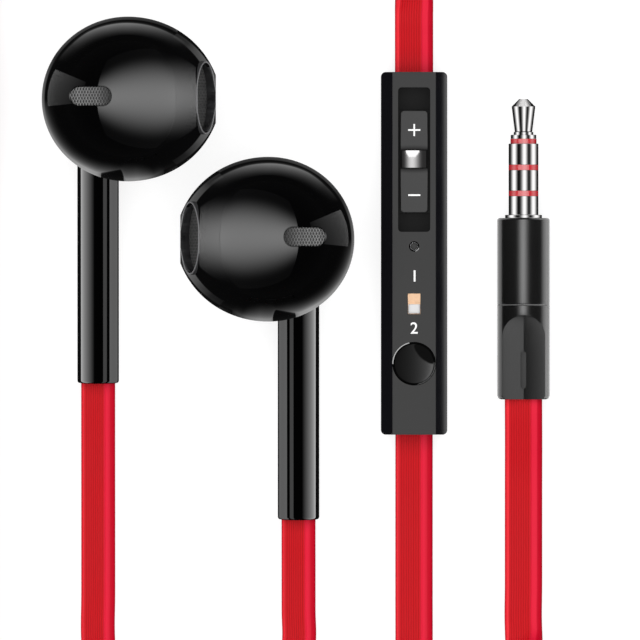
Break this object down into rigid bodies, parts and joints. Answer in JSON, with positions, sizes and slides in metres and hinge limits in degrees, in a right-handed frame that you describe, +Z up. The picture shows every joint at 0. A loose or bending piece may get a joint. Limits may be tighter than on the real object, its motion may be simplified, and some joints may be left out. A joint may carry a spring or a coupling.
{
  "type": "wired earphones",
  "caption": "Pair of wired earphones with stemmed buds, ribbed flat cords, an in-line volume and call control box, a splitter and a 3.5 mm four-contact plug.",
  "frame": {"origin": "on the surface that the earphones lie on, under the middle of the box round the two earbuds", "axes": "+Y up along the stems and the plug towards its tip, +Z up from the surface, +X from the left earbud to the right one"},
  "size_m": [0.0728, 0.1616, 0.0194],
  "materials": {
    "gloss_black": "polished",
    "box_gloss": "polished",
    "plate_grey": "fine matt",
    "satin_black": "satin",
    "dark_plastic": "moulded",
    "woven_mesh": "woven",
    "magnet_metal": "plated",
    "copper_wire": "enamelled",
    "driver_film": "film",
    "circuit_board": "varnished",
    "bright_metal": "polished",
    "switch_base": "moulded",
    "switch_knob": "moulded",
    "red_plastic": "moulded",
    "brass_core": "turned",
    "red_cord": "ribbed satin",
    "tie_fabric": "woven"
  },
  "bodies": {
    "earphones": {"left_front_shell": "gloss_black", "left_back_shell": "gloss_black", "left_stem": "gloss_black", "left_nozzle_grille": "woven_mesh", "left_vent_mesh": "woven_mesh", "left_driver_frame": "dark_plastic", "left_driver_magnet": "magnet_metal", "left_voice_coil": "copper_wire", "left_diaphragm": "driver_film", "left_cord_anchor": "dark_plastic", "right_front_shell": "gloss_black", "right_back_shell": "gloss_black", "right_stem": "gloss_black", "right_nozzle_grille": "woven_mesh", "right_vent_mesh": "woven_mesh", "right_driver_frame": "dark_plastic", "right_driver_magnet": "magnet_metal", "right_voice_coil": "copper_wire", "right_diaphragm": "driver_film", "right_cord_anchor": "dark_plastic", "box_rear_shell": "box_gloss", "box_face_plate": "plate_grey", "box_circuit_board": "circuit_board", "box_cord_clamps": "dark_plastic", "volume_potentiometer": "dark_plastic", "microphone": "magnet_metal", "mode_switch_frame": "magnet_metal", "mode_switch_base": "switch_base", "button_dome_switch": "magnet_metal", "plug_tip": "bright_metal", "plug_ring_1": "bright_metal", "plug_ring_2": "bright_metal", "plug_sleeve": "bright_metal", "plug_insulators": "red_plastic", "plug_core": "brass_core", "plug_grip_front": "satin_black", "plug_grip_rear": "satin_black", "left_cord": "red_cord", "left_cord_hank": "red_cord", "left_cord_tail": "red_cord", "right_cord": "red_cord", "right_cord_hank": "red_cord", "right_cord_tail": "red_cord", "plug_cord": "red_cord", "main_cord_hank": "red_cord", "box_cord": "red_cord", "upper_cord": "red_cord", "cord_splitter": "satin_black", "left_hank_tie": "tie_fabric", "right_hank_tie": "tie_fabric", "main_hank_tie": "tie_fabric"},
    "volume_control": {"volume_slider": "plate_grey", "volume_grip": "bright_metal"},
    "mode_selector": {"mode_switch_knob": "switch_knob"},
    "button": {"call_button": "gloss_black"}
  },
  "joints": [
    {"name": "volume_slide", "type": "slide", "parent": "earphones", "child": "volume_control", "axis": [0, 1, 0], "range_m": [-0.0021, 0.0026]},
    {"name": "mode_slide", "type": "slide", "parent": "earphones", "child": "mode_selector", "axis": [0, 1, 0], "range_m": [0, 0.00115]},
    {"name": "button_press", "type": "slide", "parent": "earphones", "child": "button", "axis": [0, 0, -1], "range_m": [0, 0.00025], "stiffness_N_per_m": 2000}
  ]
}
